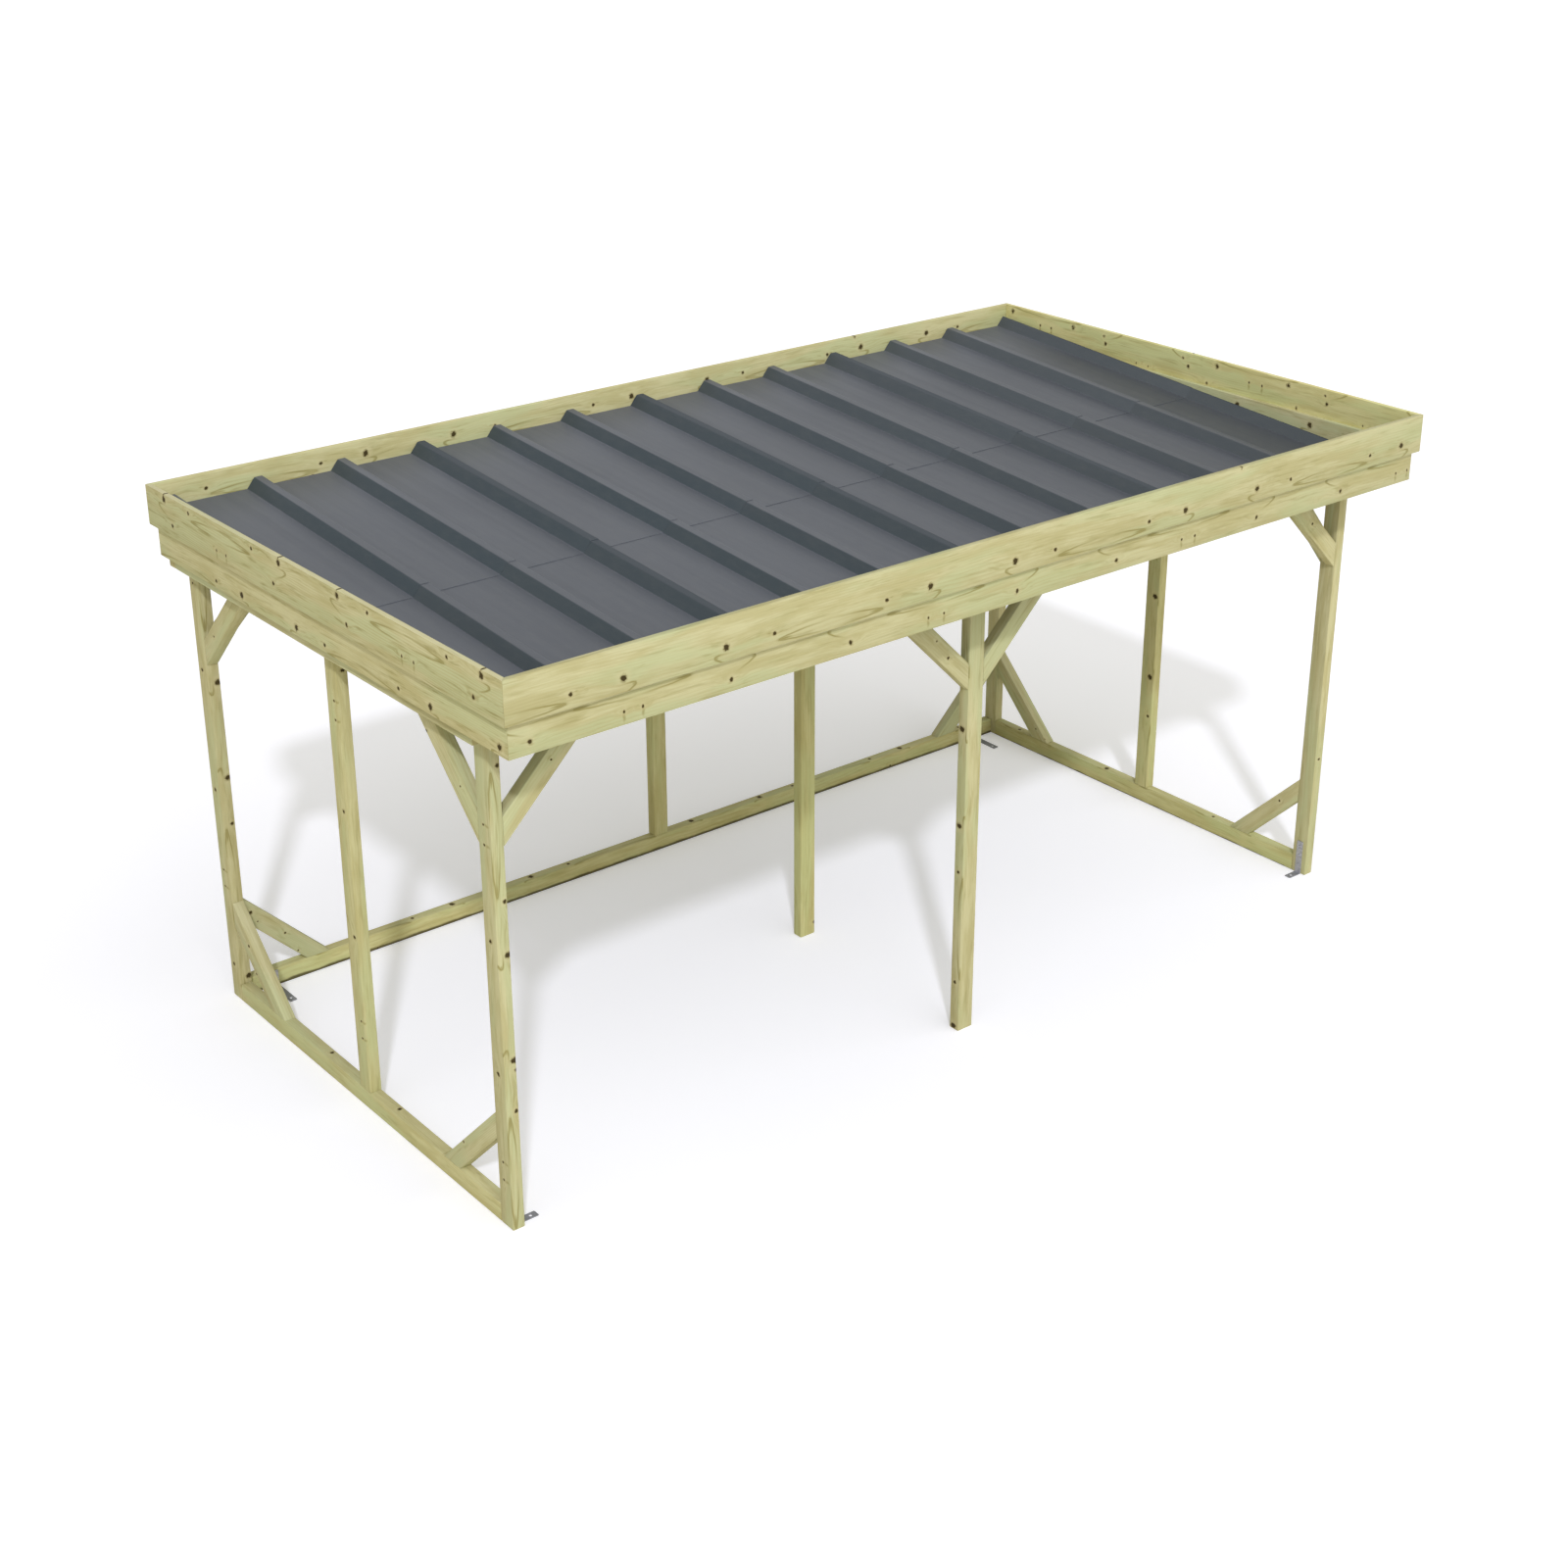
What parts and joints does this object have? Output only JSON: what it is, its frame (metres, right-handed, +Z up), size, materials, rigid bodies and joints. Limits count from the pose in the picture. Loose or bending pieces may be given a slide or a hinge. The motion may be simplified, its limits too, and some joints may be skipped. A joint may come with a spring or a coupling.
{
  "type": "firewood shelter",
  "caption": "Open-frame timber firewood shelter with corner braces, a lean-to ribbed steel roof and stepped eaves boards.",
  "frame": {"origin": "middle of the eaves outline in plan, at ground level", "axes": "+X along the length to the right as seen from the open front, +Y to the back, +Z up"},
  "size_m": [4.11, 2.265, 2.015],
  "materials": {
    "pine": "planed, pressure treated",
    "roof_steel": "matt grey coating",
    "zinc": "galvanised"
  },
  "bodies": {
    "root": {"post_front_left": "pine", "post_front_middle": "pine", "post_front_right": "pine", "post_middle_left": "pine", "post_centre": "pine", "post_middle_right": "pine", "post_back_left": "pine", "post_back_middle": "pine", "post_back_right": "pine", "sill_left": "pine", "sill_right": "pine", "sill_back": "pine", "top_plate_left": "pine", "top_plate_right": "pine", "top_plate_back": "pine", "front_beam": "pine", "middle_beam": "pine", "back_beam": "pine", "rail_left": "pine", "rail_right": "pine", "rail_back": "pine", "braces_lower_left": "pine", "braces_lower_right": "pine", "braces_lower_back": "pine", "braces_upper_left": "pine", "braces_upper_right": "pine", "braces_upper_back": "pine", "braces_upper_front": "pine", "eaves_upper_front": "pine", "eaves_upper_back": "pine", "eaves_upper_left": "pine", "eaves_upper_right": "pine", "eaves_lower_front": "pine", "eaves_lower_back": "pine", "eaves_lower_left": "pine", "eaves_lower_right": "pine", "roof_sheets_1": "roof_steel", "roof_sheets_2": "roof_steel", "roof_sheets_3": "roof_steel", "roof_sheets_4": "roof_steel", "bracket_front_left": "zinc", "bracket_front_right": "zinc", "bracket_back_left": "zinc", "bracket_back_right": "zinc"}
  },
  "joints": []
}
